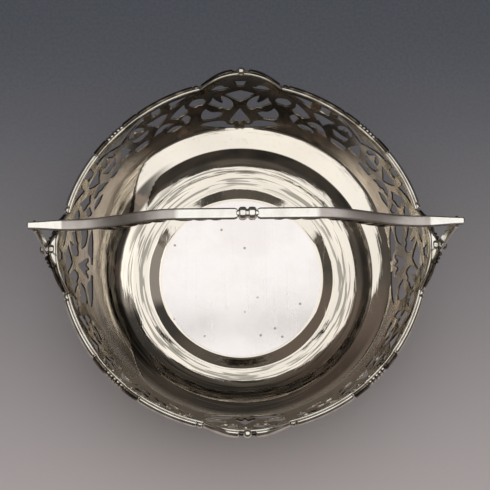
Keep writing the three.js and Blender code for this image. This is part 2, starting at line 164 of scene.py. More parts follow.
# Halves of the openings on a crest's axis, from top to bottom.
ON_CREST = {
    "crown": [(0, -0.4), (1.3, -0.4), (2.6, -0.6, 1), (1.7, -1.3), (1.3, -2.2), (1.2, -3.4, 1),
              (0.6, -3.3), (0, -3.6)],
    "diamond": [(0, -6, 1), (1.6, -6.5), (3.2, -7.1), (4.9, -7.8, 1), (3.5, -9.4),
                (2.1, -10.8), (0.9, -11.7), (0, -12.2, 1)],
    "spade": [(0, -15.9, 1), (1.2, -17.9), (2.5, -19.8), (3.5, -21.3), (3.8, -22.4, 1),
              (2.8, -22.6), (2.2, -21.9), (1.3, -21.5), (0.6, -22), (0.3, -22.9), (0, -23.1)],
}

# The same on a corner's axis, with lengths measured back from the corner.
ON_CORNER = {
    "gull": [(0, -8.3, 1), (1.8, -7.3), (3.6, -6.5), (5.4, -5.9), (7.6, -4.9), (9.4, -4.2),
             (11.3, -4.1, 1), (11.1, -5.2), (10.9, -6.2, 1), (9.4, -6.3), (7.4, -6.9), (5.2, -7.9),
             (3, -9.1), (1.4, -9.9), (0, -10.7, 1)],
    "tooth": [(0, -11.9, 1), (1.1, -13.8), (2, -15.6), (2.7, -17, 1), (1.9, -17.4),
              (1.5, -16.8, 1), (0.9, -17.7), (0, -17.3)],
}

# The step between wall and base disc, as (radius, height), and the same on the underside.
INNER_STEP = [
    (35.2, 11.29), (34.4, 11.27), (33.6, 11.24), (33.1, 11.2), (32.75, 11.11), (32.4, 10.97),
    (31.9, 10.72), (31.2, 10.35), (30.6, 10.04), (30.0, 9.73), (29.4, 9.42), (28.8, 9.11),
    (28.4, 9.02), (28.0, 9.0), (27.4, 9.0), (26.0, 9.0), (22.0, 9.0), (15.0, 9.0), (7.0, 9.0),
    (1.0, 9.0),
]
OUTER_STEP = [(1.0, 8.0), (12.0, 8.0), (22.0, 8.0), (27.8, 8.0), (29.4, 8.05), (30.4, 8.3),
              (32.0, 8.86), (34.2, 9.66), (36.2, 10.45)]

# The moulding's section as (out, up), in turns on its foot, its outer reed and its inner bead.
SECTION = [
    ("foot", [(-0.5, -1.32), (0.5, -1.32)]),
    ("reed", [(0.92, -1.16), (1.16, -0.82), (1.2, -0.44), (1.08, -0.1), (0.86, 0.2), (0.57, 0.5),
              (0.28, 0.72), (0.0, 0.82), (-0.2, 0.76)]),
    ("foot", [(-0.34, 0.46)]),
    ("bead", [(-0.44, 0.52), (-0.58, 0.74), (-0.82, 0.82), (-1.06, 0.7), (-1.18, 0.46),
              (-1.1, 0.18), (-0.86, 0.02)]),
    ("foot", [(-0.62, -0.2), (-0.52, -0.8)]),
]
SECTION_PARTS = [part for part, points in SECTION for _ in points]
HEARTS = {"foot": (0, 0), "reed": (0.15, -0.35), "bead": (-0.55, 0.15)}

# Beads on an ear's edge, as (x, y, radius).
EAR_BEADS = [(64.75, 2.15, 0.66), (64.15, 3.5, 0.6), (63.65, 4.75, 0.52)]

# A lug's profile, as (radius, place along the pin).
LUG = [(0.6, 61.9), (1.5, 62.0), (1.7, 62.2), (1.8, 62.5), (1.8, 63.35), (1.72, 63.5),
       (1.5, 63.59), (1.0, LUG_FACE)]

# Half of the leg's section, as (y, half thickness), with a raised line near its edge.
LEG_SECTION = [(0.0, 0.3), (1.0, 0.3), (1.25, 0.38), (1.45, 0.5), (1.65, 0.46), (1.75, 0.2)]

# Leaves under the bow as (base, tip, drop of the tip, half width).
LEAVES = [(46.0, 38.2, 4.8, 2.15), (43.5, 35.3, 4.6, 2.15), (40.5, 32.4, 3.8, 2.15),
          (36.5, 28.0, 3.3, 2.05), (31.5, 23.7, 2.9, 1.95), (24.5, 15.2, 2.4, 1.9),
          (18.5, 11.0, 2.1, 1.85), (13.0, 6.9, 1.9, 1.85)]


# Plain numbers and curves


def unit(vectors):
    return vectors / np.maximum(np.linalg.norm(vectors, axis=-1, keepdims=True), 1e-12)


def smooth_step(value, low, high):
    share = np.clip((value - low) / (high - low), 0.0, 1.0)
    return share * share * (3 - 2 * share)


def from_crest(angle):
    quarter = math.pi / 2
    return angle - np.round(angle / quarter) * quarter


def crest_height(angle):
    """1 at a crest's apex, 0 from its kinks outwards."""
    share = from_crest(angle) / CREST_HALF
    return np.maximum(0.0, 1 - share * share)


def rim_rise(angle):
    past = np.maximum(0.0, np.abs(from_crest(angle)) - CREST_HALF)
    sag = (1 - np.cos(math.pi * past / (math.pi / 4 - CREST_HALF))) / 2
    return CREST_RISE * crest_height(angle) - RUN_DIP * sag


def rim_point(angle, out, up):
    radius = RIM_RADIUS + CREST_BULGE * crest_height(angle) + out
    return np.stack([
        OVAL_STRETCH * radius * np.cos(angle), radius * np.sin(angle),
        RIM_LEVEL + rim_rise(angle) + up,
    ], -1)


def bezier(points, share):
    share = np.asarray(share)[:, None]
    back = 1 - share
    a, b, c, d = points
    return (back ** 3 * a + 3 * back ** 2 * share * b + 3 * back * share ** 2 * c
            + share ** 3 * d)


WALL_SHARES = np.linspace(0, 1, 600)
WALL_TABLE = bezier(WALL_CURVE, WALL_SHARES)


def inside_face(angle, over_rim):
    """A point of the wall's inside face, drawn out to follow the crests and dips of the rim."""
    rise = rim_rise(angle)
    span = WALL_TOP - BAND_BOTTOM
    level = np.where(
        over_rim <= BAND_BOTTOM,
        over_rim,
        (over_rim + rise * BAND_BOTTOM / span) / (1 + rise / span),
    )
    share = np.maximum(0.0, (level - BAND_BOTTOM) / span)
    radius = np.interp(level + RIM_LEVEL, WALL_TABLE[:, 1], WALL_TABLE[:, 0])
    radius = radius + CREST_BULGE * crest_height(angle) * share
    return np.stack([
        radius * np.cos(angle), radius * np.sin(angle), over_rim + RIM_LEVEL,
    ], -1)


def wall_frame(angle, over_rim):
    """Directions round the bowl, up the wall and out through it."""
    turn, climb = 0.006, 0.12  # short ways along both
    around = unit(inside_face(angle + turn, over_rim) - inside_face(angle - turn, over_rim))
    upward = unit(inside_face(angle, over_rim + climb) - inside_face(angle, over_rim - climb))
    outward = unit(np.cross(around, upward))
    return around, np.cross(outward, around), outward


def oval(places, normals):
    """Points and normals of the bowl drawn out along X, from none at the base to all at the rim."""
    x, z = places[:, 0], places[:, 2]
    depth = RIM_LEVEL - INSIDE_BASE
    stretch = 1 + (OVAL_STRETCH - 1) * np.clip((z - INSIDE_BASE) / depth, 0, 1)
    slope = np.where((z > INSIDE_BASE) & (z < RIM_LEVEL), (OVAL_STRETCH - 1) / depth, 0)
    tilted = np.stack([normals[:, 0] / stretch, normals[:, 1],
                       normals[:, 2] - x * slope / stretch * normals[:, 0]], 1)
    return np.stack([x * stretch, places[:, 1], z], 1), unit(tilted)


# Outlines of the openings


def spline(points):
    """Points at even steps on a smooth curve through the given ones."""
    points = np.array(points, float)
    padded = np.vstack([2 * points[0] - points[1], points, 2 * points[-1] - points[-2]])
    dense = []
    for a, b, c, d in zip(padded, padded[1:], padded[2:], padded[3:]):
        for t in np.linspace(0, 1, 12, endpoint=False):
            dense.append(0.5 * (2 * b + (c - a) * t + (2 * a - 5 * b + 4 * c - d) * t * t
                                + (3 * b - a - 3 * c + d) * t ** 3))
    dense = np.array(dense + [points[-1]])
    lengths = np.concatenate([[0], np.cumsum(np.linalg.norm(np.diff(dense, axis=0), axis=1))])
    count = max(2, int(round(lengths[-1] / EDGE_STEP)))
    at = np.linspace(0, lengths[-1], count + 1)
    return np.stack([np.interp(at, lengths, dense[:, k]) for k in (0, 1)], 1)


def outline_curve(marked, closed):
    """An outline through marked points: curves that break at the sharp ones."""
    points = [point[:2] for point in marked]
    breaks = [i for i, point in enumerate(marked) if len(point) == 3]
    if closed:
        first = breaks[0]
        points = points[first:] + points[:first + 1]
        breaks = [i - first for i in breaks] + [len(marked)]
    else:
        breaks = sorted({0, len(points) - 1, *breaks})
    runs = [spline(points[a:b + 1])[:-1] for a, b in zip(breaks, breaks[1:])]
    return np.vstack(runs if closed else runs + [points[-1]])


def loop_normals(loop, closed):
    """Normals that point out of an anticlockwise opening, with the length of a mitre."""
    if closed:
        before, after = loop - np.roll(loop, 1, 0), np.roll(loop, -1, 0) - loop
    else:
        steps = np.diff(loop, axis=0)
        before = np.vstack([steps[:1] * (1, -1), steps])
        after = np.vstack([steps, steps[-1:] * (1, -1)])
    before, after = unit(before), unit(after)
    normals = unit(np.stack([before[:, 1] + after[:, 1], -before[:, 0] - after[:, 0]], 1))
    cosine = np.sum(normals * np.stack([after[:, 1], -after[:, 0]], 1), 1)
    return normals, 1 / np.clip(cosine, 0.55, 1)


def opening(loop, closed):
    """An opening as (anticlockwise outline, normals, mitres, closed)."""
    x, y = loop.T
    if np.sum(x * np.roll(y, -1) - np.roll(x, -1) * y) < 0:
        loop = loop[::-1].copy()
    return loop, *loop_normals(loop, closed), closed


def sector_openings():
    """Every opening of one sector, from a crest's axis to a corner's."""
    found = [opening(outline_curve(marked, True), True) for marked in BESIDE_CREST.values()]
    found += [opening(outline_curve(marked, False), False) for marked in ON_CREST.values()]
    for marked in ON_CORNER.values():
        found.append(opening(outline_curve(marked, False) * (-1, 1) + (CORNER_S, 0), False))
    return found


def inside_polygon(points, loop):
    x, y = points.T[:, :, None]
    x0, y0 = loop.T[:, None]
    x1, y1 = np.roll(loop, -1, 0).T[:, None]
    rise = np.where(np.abs(y1 - y0) < 1e-12, 1e-12, y1 - y0)
    crossed = ((y0 > y) != (y1 > y)) & (x < (x1 - x0) * (y - y0) / rise + x0)
    return crossed.sum(1) % 2 == 1


# The pierced sheet of one sector


def axis_points(loops, axis):
    """Points in the metal along a sector's edge, between the openings on it."""
    spans = sorted(sorted(loop[[0, -1], 1]) for loop in loops
                   if np.allclose(loop[[0, -1], 0], axis, atol=1e-6))
    top = WALL_TOP + float(rim_rise(axis / FRET_RADIUS))
    lows = [SHEET_BOTTOM] + [high for _, high in spans]
    highs = [low for low, _ in spans] + [top]
    points = []
    for low, high in zip(lows, highs):
        count = max(1, int(round((high - low) / GRID_STEP)))
        points += [(axis, height) for height in np.linspace(low, high, count + 1)[1:-1]]
    return points


def grid_points(loops, taken):
    """A triangular grid in the sector's metal, clear of its edges and of the points taken."""
    row_step = GRID_STEP * math.sqrt(3) / 2
    grid = []
    for row, height in enumerate(np.arange(SHEET_BOTTOM + row_step, 5, row_step)):
        start = 0.6 + 0.5 * GRID_STEP * (row % 2)
        grid += [(along, height) for along in np.arange(start, CORNER_S - 0.5, GRID_STEP)]
    grid = np.array(grid)
    grid = grid[grid[:, 1] < WALL_TOP + rim_rise(grid[:, 0] / FRET_RADIUS) - EDGE_CLEARANCE]
    nearest = np.array([np.min(np.sum((taken - point) ** 2, 1)) for point in grid])
    grid = grid[nearest > EDGE_CLEARANCE ** 2]
    for loop in loops:
        grid = grid[~inside_polygon(grid, loop)]
    return grid


def sector_sheet():
    """Flat points, triangles and edge strips of one sector, in (length round, height)."""
    openings = sector_openings()
    grown = [loop + BEVEL * normals * mitres[:, None] for loop, normals, mitres, _ in openings]
    top = np.linspace(0, CORNER_S, int(CORNER_S / EDGE_STEP / 1.6) + 1)
    top = np.stack([top, WALL_TOP + rim_rise(top / FRET_RADIUS)], 1)
    points, edges, strips = [], [], []
    for row, closed in [*zip(grown, (kept[3] for kept in openings)), (top, False)]:
        strip = list(range(len(points), len(points) + len(row)))
        points += row.tolist()
        edges += list(zip(strip, strip[1:])) + ([(strip[-1], strip[0])] if closed else [])
        strips.append(strip)
    strips.append(list(range(len(points), len(points) + SEGMENTS_PER_SECTOR + 1)))
    points += [(CORNER_S * i / SEGMENTS_PER_SECTOR, SHEET_BOTTOM)
               for i in range(SEGMENTS_PER_SECTOR + 1)]
    points += axis_points(grown, 0.0) + axis_points(grown, CORNER_S)
    points = np.array(points)
    points = np.vstack([points, grid_points(grown, points)])
    placed, _, faces, originals, _, _ = delaunay_2d_cdt(
        [Vector(point) for point in points], edges, [], 0, 1e-6)
    if len(placed) != len(points):
        raise ValueError(f"outlines of the gallery cross: {len(placed) - len(points)} new points")
    order = [numbers[0] for numbers in originals]
    renamed = {old: new for new, old in enumerate(order)}
    faces = np.array(faces)
    middles = np.array([tuple(point) for point in placed])[faces].mean(1)
    keep = middles[:, 1] < np.interp(middles[:, 0], top[:, 0], top[:, 1])
    for loop in grown:
        keep &= ~inside_polygon(middles, loop)
    *rings, top_row, bottom_row = [[renamed[i] for i in strip] for strip in strips]
    return points[order], faces[keep], rings, openings, top_row, bottom_row


def sheet_depth(height):
    """Thickness at a height over the rim's level: thin where pierced, full at the spun bowl."""
    return SHEET + (WALL - SHEET) * smooth_step(-height, 25.6, -SHEET_BOTTOM)


def between(rows, closed=True):
    """Faces that join rows of point numbers."""
    size = len(rows[0])
    return [(near[i], near[(i + 1) % size], far[(i + 1) % size], far[i])
            for near, far in zip(rows, rows[1:]) for i in range(size if closed else size - 1)]


def sector_solid():
    """One sector with both faces and the cut edges: points, normals, faces, and where it joins."""
    flat, triangles, rings, openings, top_row, bottom_row = sector_sheet()
    count = len(flat)
    place, normal = [], []

    def lay(flat, depth, round_part, up_part, out_part):
        angle, height = flat[:, 0] / FRET_RADIUS, flat[:, 1]
        around, upward, outward = wall_frame(angle, height)
        place.append(inside_face(angle, height) + outward * depth[:, None])
        normal.append(unit(around * round_part[:, None] + upward * up_part[:, None]
                           + outward * out_part[:, None]))

    zeros = np.zeros(count)
    lay(flat, zeros, zeros, zeros, zeros - 1)
    lay(flat, sheet_depth(flat[:, 1]), zeros, zeros, zeros + 1)
    faces = [tuple(t) for t in triangles[:, ::-1]] + [tuple(t + count) for t in triangles]
    start = 2 * count
    for ring, (loop, normals, _, closed) in zip(rings, openings):
        size = len(loop)
        depth = sheet_depth(loop[:, 1])
        for cut in (0 * depth + BEVEL, depth - BEVEL):
            lay(loop, cut, -normals[:, 0], -normals[:, 1], 0 * depth)
        layers = [ring, range(start, start + size), range(start + size, start + 2 * size),
                  [i + count for i in ring]]
        start += 2 * size
        faces += between(layers, closed)
    cut = range(2 * len(triangles), len(faces))
    faces += between([top_row, [i + count for i in top_row]], False)
    place, normal = np.vstack(place), np.vstack(normal)
    lengths = np.arctan2(place[:, 1], place[:, 0]) * FRET_RADIUS
    on_axis = {int(i): name for name, axis in (("crest", 0.0), ("corner", CORNER_S))
               for i in np.flatnonzero(np.abs(lengths - axis) < 1e-4)}
    bottoms = {i + face * count: (segment, face)
               for segment, i in enumerate(bottom_row) for face in (0, 1)}
    return place, normal, faces, cut, on_axis, bottoms


# Building meshes


def new_piece(name, node, shape, finish, painted_dark_faces=None, normals=None):
    """A finished piece that stands for a node; a list of marks, if given, picks its first faces
    that are painted dark as shade and dark reflection.
    """
    points, faces = shape
    material, body, slot = finish
    mesh = bpy.data.meshes.new(name)
    mesh.from_pydata((np.asarray(points) * MM).tolist(), [], faces)
    work = bmesh.new()
    work.from_mesh(mesh)
    bmesh.ops.recalc_face_normals(work, faces=work.faces)
    work.to_mesh(mesh)
    work.free()
    mesh.shade_smooth()
    if normals is not None:
        mesh.normals_split_custom_set_from_vertices(normals.tolist())
    mesh.materials.append(material)
    if painted_dark_faces is not None:
        mesh.materials.append(painted_dark_metal)
        marks = [int(mark) for mark in painted_dark_faces] + [0] * (len(faces) - len(painted_dark_faces))
        mesh.polygons.foreach_set("material_index", marks)
    piece = bpy.data.objects.new(name, mesh)
    bpy.context.scene.collection.objects.link(piece)
    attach(piece, body)
    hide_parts(node)


def joined(parts):
    """Several (points, faces) as one."""
    points, faces, start = [], [], 0
    for part_points, part_faces in parts:
        points.append(np.asarray(part_points))
        faces += [tuple(i + start for i in face) for face in part_faces]
        start += len(part_points)
    return np.vstack(points), faces


def mirrored(shape, side):
    return shape[0] * np.array([side, 1, 1]), shape[1]


def skin(rings):
    """A closed surface over a row of rings, each end drawn to a point."""
    rings = np.asarray(rings)
    rows, size = rings.shape[:2]
    points = np.vstack([rings.reshape(-1, 3), rings[0].mean(0), rings[-1].mean(0)])
    numbers = np.arange(rows * size).reshape(rows, size).tolist()
    faces = between(numbers)
    first, last = numbers[0], numbers[-1]
    for i in range(size):
        j = (i + 1) % size
        faces += [(first[j], first[i], rows * size), (last[i], last[j], rows * size + 1)]
    return points, faces


def turned(profile, count):
    """Rings round Z of points, or of normals, that are given as (outwards, upwards)."""
    turn = np.arange(count) * 2 * math.pi / count
    r, z = profile[:, :1], profile[:, 1:]
    return np.stack([r * np.cos(turn), r * np.sin(turn), z + 0 * turn], 2).reshape(-1, 3)


def tube_round(profile, count, middle, along="x"):
    """A surface turned round an axis; profile is (radius, place along) from end to end."""
    rings = turned(np.array(profile), count).reshape(len(profile), count, 3)
    if along == "x":
        rings = np.roll(rings, 1, -1)
    return skin(rings + np.array(middle))


def ball(middle, radius):
    turns = np.linspace(0.04, math.pi - 0.04, 10)
    return tube_round([(radius * math.sin(t), -radius * math.cos(t)) for t in turns], 20, middle,
                      "z")


def super_ellipse(half_width, half_height, power, count):
    turn = np.arange(count) * 2 * math.pi / count
    c, s = np.cos(turn), np.sin(turn)
    return np.stack([half_width * np.sign(c) * np.abs(c) ** (2 / power),
                     half_height * np.sign(s) * np.abs(s) ** (2 / power)], 1)


# Bowl and foot


def profile_normals(profile):
    tangent = np.gradient(profile, axis=0)
    return unit(np.stack([tangent[:, 1], -tangent[:, 0]], 1))


def wall_profile():
    """The plain bowl inside, from the sheet down to its middle, and outside back up again."""
    cut, low, high = np.interp([SHEET_BOTTOM + RIM_LEVEL, SHOULDER_LOW, SHOULDER_LOW + 0.3],
                               WALL_TABLE[:, 1], WALL_SHARES)
    steps = np.sort(np.append(np.linspace(cut, 0, 22)[1:], [low, high]))[::-1]
    lower = bezier(WALL_CURVE, steps)
    away = profile_normals(lower)
    away *= np.sign(away[:, :1])
    outer = (lower + away * WALL)[-2::-1]
    return np.vstack([lower, INNER_STEP]), np.vstack([OUTER_STEP, outer])


def shoulder_normals(places, normals):
    """Shading of the shoulder under the gallery as one even slope, lower down on the left."""
    height = places[:, 2]
    sideways = unit(places[:, :2])
    inside = (np.sum(normals[:, :2] * sideways, 1) < -0.3) & (normals[:, 2] > 0.15)
    left = smooth_step(-sideways[:, 0], 0.6, 0.93)
    low, high = SHOULDER_LOW - LEFT_DROP_LOW * left, SHOULDER_HIGH - LEFT_DROP_HIGH * left
    fade = 1 + 2.5 * left
    share = (smooth_step(height - low, 0, 0.3)
             * smooth_step((high - height) / fade, -0.3, 0.5) * inside)[:, None]
    growth = 0.7 + 1.3 * np.maximum(0, sideways[:, 0]) ** 4
    front = smooth_step(-sideways[:, 1], -0.05, 0.35)
    tilt = np.radians(SHOULDER_TILT + growth * (height - low) + 7 * front)
    even = np.column_stack([-sideways * np.sin(tilt)[:, None], np.cos(tilt)])
    return unit(normals * (1 - share) + even * share)


def whole_gallery():
    """The sector laid eight times round the bowl, with the points that sectors share made once.

    Gives places, normals, faces, which faces are cut edges, and the lowest rings of both sides.
    """
    sector, directions, sector_faces, cut, on_axis, bottoms = sector_solid()
    places, normals, faces, painted_dark_faces, known = [], [], [], [], {}
    for crest in range(4):
        turn = crest * math.pi / 2
        spin = np.array([[math.cos(turn), -math.sin(turn), 0],
                         [math.sin(turn), math.cos(turn), 0], [0, 0, 1]])
        for side in (1, -1):
            move = np.diag([1, side, 1]) @ spin.T
            renamed = []
            for index, (place, normal) in enumerate(zip(sector @ move, directions @ move)):
                key = None
                if index in bottoms:
                    segment, face = bottoms[index]
                    key = (face, (crest * 2 * SEGMENTS_PER_SECTOR + side * segment) % RING)
                elif index in on_axis:
                    before = on_axis[index] == "corner" and side < 0
                    key = (on_axis[index], (crest - before) % 4, index)
                renamed.append(known.get(key, len(places)))
                if renamed[-1] == len(places):
                    if key:
                        known[key] = len(places)
                    places.append(place)
                    normals.append(normal)
            faces += [tuple(renamed[i] for i in face) for face in sector_faces]
            # The openings' cut edges are painted dark, as shade and dark reflection.
            painted_dark_faces += [number in cut for number in range(len(sector_faces))]
    lowest = [[known[(face, i)] for i in range(RING)] for face in (0, 1)]
    return places, normals, faces, painted_dark_faces, lowest


def pierced_bowl(finish):
    places, normals, faces, painted_dark_faces, (inner_ring, outer_ring) = whole_gallery()
    blocks = []
    for profile in wall_profile():
        start = len(places)
        places += list(turned(profile, RING))
        normals += list(turned(profile_normals(profile), RING))
        blocks.append(np.arange(start, len(places)).reshape(-1, RING).tolist())
    faces += between([inner_ring] + blocks[0]) + between(blocks[1] + [outer_ring])
    for row, level, up in ((blocks[0][-1], INSIDE_BASE, 1), (blocks[1][0], UNDERSIDE, -1)):
        faces += [(row[i], row[(i + 1) % RING], len(places)) for i in range(RING)]
        places.append(np.array([0, 0, level]))
        normals.append(np.array([0, 0, up]))
    places = np.array(places)
    places, normals = oval(places, shoulder_normals(places, np.array(normals)))
    new_piece("pierced_bowl", "bowl", (places, faces), finish, painted_dark_faces, normals)


def collet_foot(finish):
    share = np.linspace(0, 1, 16)[:, None]
    back = 1 - share

    def bow(a, b, c):
        return back ** 2 * np.array(a) + 2 * back * share * np.array(b) + share ** 2 * np.array(c)

    outside = bow((28.0, 7.9), (28.0, 1.2), (34.9, 1.05))
    edge = [(35.3, 0.95), (35.55, 0.7), (35.6, 0.4), (35.45, 0.12), (35.1, 0.0), (33.8, 0.0)]
    inside = bow((32.6, 0.0), (25.2, 0.2), (25.2, 7.9))
    profile = np.vstack([outside, edge, inside])
    count = 192
    rows = np.arange(len(profile) * count).reshape(-1, count).tolist()
    new_piece("collet_foot", "foot", (turned(profile, count), between(rows + rows[:1])), finish)


# Rim mouldings


def section_at(reed, bead):
    """The moulding's section with its reed and its bead scaled about their hearts."""
    sizes = {"foot": 1, "reed": reed, "bead": bead}
    return np.vstack([np.array(HEARTS[part]) + (np.array(points) - HEARTS[part]) * sizes[part]
                      for part, points in SECTION])


def moulding(axis_angle, side, from_s, to_s, step, reed_size, bead_size, dark):
    """A length of moulding along the rim line, from one distance off an axis to another.

    Its grooves are painted dark as shade, and its reed is painted dark as dark reflection wherever
    dark(s) is true.
    """
    count = max(2, int(abs(to_s - from_s) / step))
    rings, painted_dark_faces = [], []
    for s in np.linspace(from_s, to_s, count + 1):
        shape = section_at(reed_size(s), bead_size(s))
        angle = axis_angle + side * s / FRET_RADIUS
        rings.append(rim_point(np.full(len(shape), angle), shape[:, 0], shape[:, 1]))
        painted_dark_faces += [part == "foot" or (part == "reed" and dark(s)) for part in SECTION_PARTS]
    size = len(SECTION_PARTS)
    return skin(rings), painted_dark_faces[:-size] + [True] * 2 * size


def crest_moulding(crest, step, reed_size, dark_reach):
    """A crest's moulding from kink to kink, painted dark near its apex as dark reflection."""
    reach = KINK_S - CREST_GAP
    return moulding(crest, 1, -reach, reach, step, reed_size, lambda s: 1.0,
                    lambda s: abs(s) < dark_reach)


def bead_row(s, beads, floor):
    """Size of a reed that is cut into beads, given as (middle, half length, size of its top)."""
    size = floor
    for middle, half, top in beads:
        off = abs(s - middle) / half
        if off < 1:
            size = max(size, floor + (top - floor) * (1 - off * off) ** 0.4)
    return size


def run_reed(s):
    """The reed's size along a run: a bead at the kink, the long reed, then the smooth bar."""
    if s < RUN_START:
        return bead_row(s, [(14.45, 0.75, 0.95)], 0.45)
    notch = 1 - 0.38 * (1 - smooth_step(abs(s - RUN_BAR), 0.0, 0.55))
    rise = 0.45 + 0.55 * smooth_step(s, RUN_START, RUN_START + 0.5)
    bar = 1 + 0.06 * smooth_step(s, RUN_BAR, RUN_BAR + 0.5)
    return rise * notch * bar


def run_bead(s):
    """The inner bead fades where the smooth bar starts."""
    return 1 - 0.5 * smooth_step(s, RUN_BAR - 0.6, RUN_BAR + 1.2)


def mount_reed(s):
    beads = [(-2.8, 0.68, 1.0), (-1.4, 0.68, 1.12), (0, 0.68, 1.2), (1.4, 0.68, 1.12),
             (2.8, 0.68, 1.0)]
    return max(bead_row(s, beads, 0.5), 0.5 + 0.56 * smooth_step(abs(s), 3.5, 3.9))


def crest_reed(s):
    """Thin at the kinks, fullest a little off the apex, with a notch beside the middle ball."""
    away = abs(s)
    grow = 0.55 + 0.65 * smooth_step(-away, -12.5, -5.0)
    return grow * (0.45 + 0.55 * smooth_step(away, 2.0, 3.0))


def pivot_reed(s):
    """Dark bars, then three beads that grow towards the pivot."""
    away = abs(s)
    beads = bead_row(away, [(1.6, 0.85, 1.2), (3.15, 0.75, 1.1), (4.6, 0.68, 0.95)], 0.42)
    bar = (0.6 + 0.45 * smooth_step(-away, -12.6, -7.5)) * smooth_step(away, 5.2, 5.7)
    return max(beads, bar)


def rim_runs(finish):
    """Two runs in each quarter, the first from the quarter's first crest."""
    for quarter, name in enumerate(QUARTERS):
        for order, side in ((1, 1), (2, -1)):
            # A run's reed is painted dark: as dark reflection along its smooth bar and all along
            # the two runs beside the back crest, and as shade in the dip after the kink's bead.
            beside_back_crest = quarter + order == 2
            shape, painted_dark_faces = moulding(
                (quarter + order - 1) * math.pi / 2, side, KINK_S + CREST_GAP,
                CORNER_S - MOUNT_HALF - MOUNT_GAP, 0.22, run_reed, run_bead,
                lambda s: s > RUN_BAR or 15.0 < s < 15.5 or beside_back_crest)
            new_piece(f"reeded_run_{name}_{order}", f"rim_run_{name}_{order}", shape, finish,
                      painted_dark_faces)


def corner_mounts(finish):
    for quarter, name in enumerate(QUARTERS):
        # The mount's smooth bars are painted dark as dark reflection, and the gaps between its
        # beads as shade.
        shape, painted_dark_faces = moulding(
            (quarter + 0.5) * math.pi / 2, 1, -MOUNT_HALF + MOUNT_GAP, MOUNT_HALF - MOUNT_GAP,
            0.1, mount_reed, lambda s: 0.5 + 0.4 * smooth_step(-abs(s), -4.5, -3),
            lambda s: abs(s) > 3.5 or math.cos(2 * math.pi * s / 1.4) < -0.35)
        new_piece(f"beaded_corner_{name}", f"corner_mount_{name}", shape, finish, painted_dark_faces)


def crest_mounts(finish):
    for name, turns, dark_reach in (("back", 0.25, DARK_REACH), ("front", 0.75, FRONT_DARK_REACH)):
        crest = turns * 2 * math.pi
        # The crest's reed is painted dark as dark reflection: far along it at the back, only round
        # the ball at the front.
        bar, painted_dark_faces = crest_moulding(crest, 0.15, crest_reed, dark_reach)
        shape = joined([bar, ball(rim_point(crest, 0.1, 0.35), 1.5)])
        new_piece(f"ball_crest_{name}", f"crest_mount_{name}", shape, finish, painted_dark_faces)


def ear_level(y):
    """Top of a pivot mount's ear, which stays under the leg at both ends of its swing."""
    return PIVOT_LEVEL - 2.5 - 0.0167 * y * y


def pivot_ear():
    """The sloping shelf that carries a pivot mount out under the eye to the pin's head."""
    rings = []
    for angle in np.linspace(-EAR_HALF, EAR_HALF, 61):
        x, y, rim = rim_point(angle, 0.9, 0.0)
        tip = max(x + 0.05, EAR_TIP - 0.43 * max(0.0, abs(y) - 1.6))
        clear = float(smooth_step(abs(y), 5.0, 6.2))  # past the leg's sweep
        top = ear_level(y) + clear * (rim + 0.2 - ear_level(y))
        rings.append([(x - 0.6, y, top), (x + 0.35 * (tip - x), y, top - 0.05),
                      (tip - 0.12, y, top - 0.85), (tip, y, top - 1.02), (tip - 0.1, y, top - 1.3),
                      (x - 0.6, y, top - 2.0)])
    return skin(rings)


def ear_beads():
    """Beads on the ear's edge, on both sides of the pivot."""
    return [ball((x, side * y, ear_level(y) - 0.3 - radius * 0.55), radius)
            for x, y, radius in EAR_BEADS for side in (1, -1)]


def pivot_lens():
    """The smooth top of a pivot mount, widest at the pivot."""
    edge = 0.35
    rings = []
    for s in np.linspace(-LENS_HALF, LENS_HALF, 31):
        reach = edge + (LUG_FACE - 0.1 - LENS_ROOT - edge) * (1 - (s / LENS_HALF) ** 2) ** 0.8
        rise = float(rim_rise(s / FRET_RADIUS)) + RIM_LEVEL
        rings.append([(LENS_ROOT + out * reach, s, rise + up) for out, up in
                      [(0, 0.2), (1, 0.2), (1, 0.75), (0.93, 0.98), (0.75, 1.12), (0.4, 1.2),
                       (0, 1.16)]])
    return skin(rings)


def pivot_crests(finish):
    for name, side in SIDES:
        crest = 0.0 if side > 0 else math.pi
        bar, painted_dark_faces = crest_moulding(crest, 0.12, pivot_reed, DARK_REACH)
        bright = joined([tube_round(LUG, 40, (0, 0, PIVOT_LEVEL)), pivot_lens()])
        # The ear and its beads are painted dark as dark reflection, as is the bar near the pivot;
        # the lug and the lens keep the bright silver.
        dark = joined([pivot_ear(), *ear_beads()])
        painted_dark_faces += [False] * len(bright[1]) + [True] * len(dark[1])
        shape = joined([bar, mirrored(bright, side), mirrored(dark, side)])
        new_piece(f"pivot_mount_{name}", f"pivot_crest_{name}", shape, finish, painted_dark_faces)


def pivot_pins(finish):
    for name, side in SIDES:
        turns = np.linspace(math.asin(PIN_RADIUS / BALL_RADIUS), math.pi - 0.03, 16)
        profile = [(0.4, 62.2), (PIN_RADIUS, 62.3), (PIN_RADIUS, 65.0)]
        profile += [(BALL_RADIUS * math.sin(t), BALL_MIDDLE - BALL_HALF * math.cos(t))
                    for t in turns]
        pin = tube_round(profile, 32, (0, 0, PIVOT_LEVEL))
        new_piece(f"ball_pin_{name}", f"pivot_pin_{name}", mirrored(pin, side), finish)


# Handle


def bow_height(x):
    share = np.clip((x - FLAT_HALF) / (SLOPE_END - FLAT_HALF), 0, 1)
    return HANDLE_TOP - SHOULDER_DROP * (1 - np.cos(math.pi * share)) / 2


def bow_half_width(x):
    return BAR_HALF_WIDTH + (BAR_TIP_HALF_WIDTH - BAR_HALF_WIDTH) * smooth_step(
        x, SLOPE_END, BAR_END)


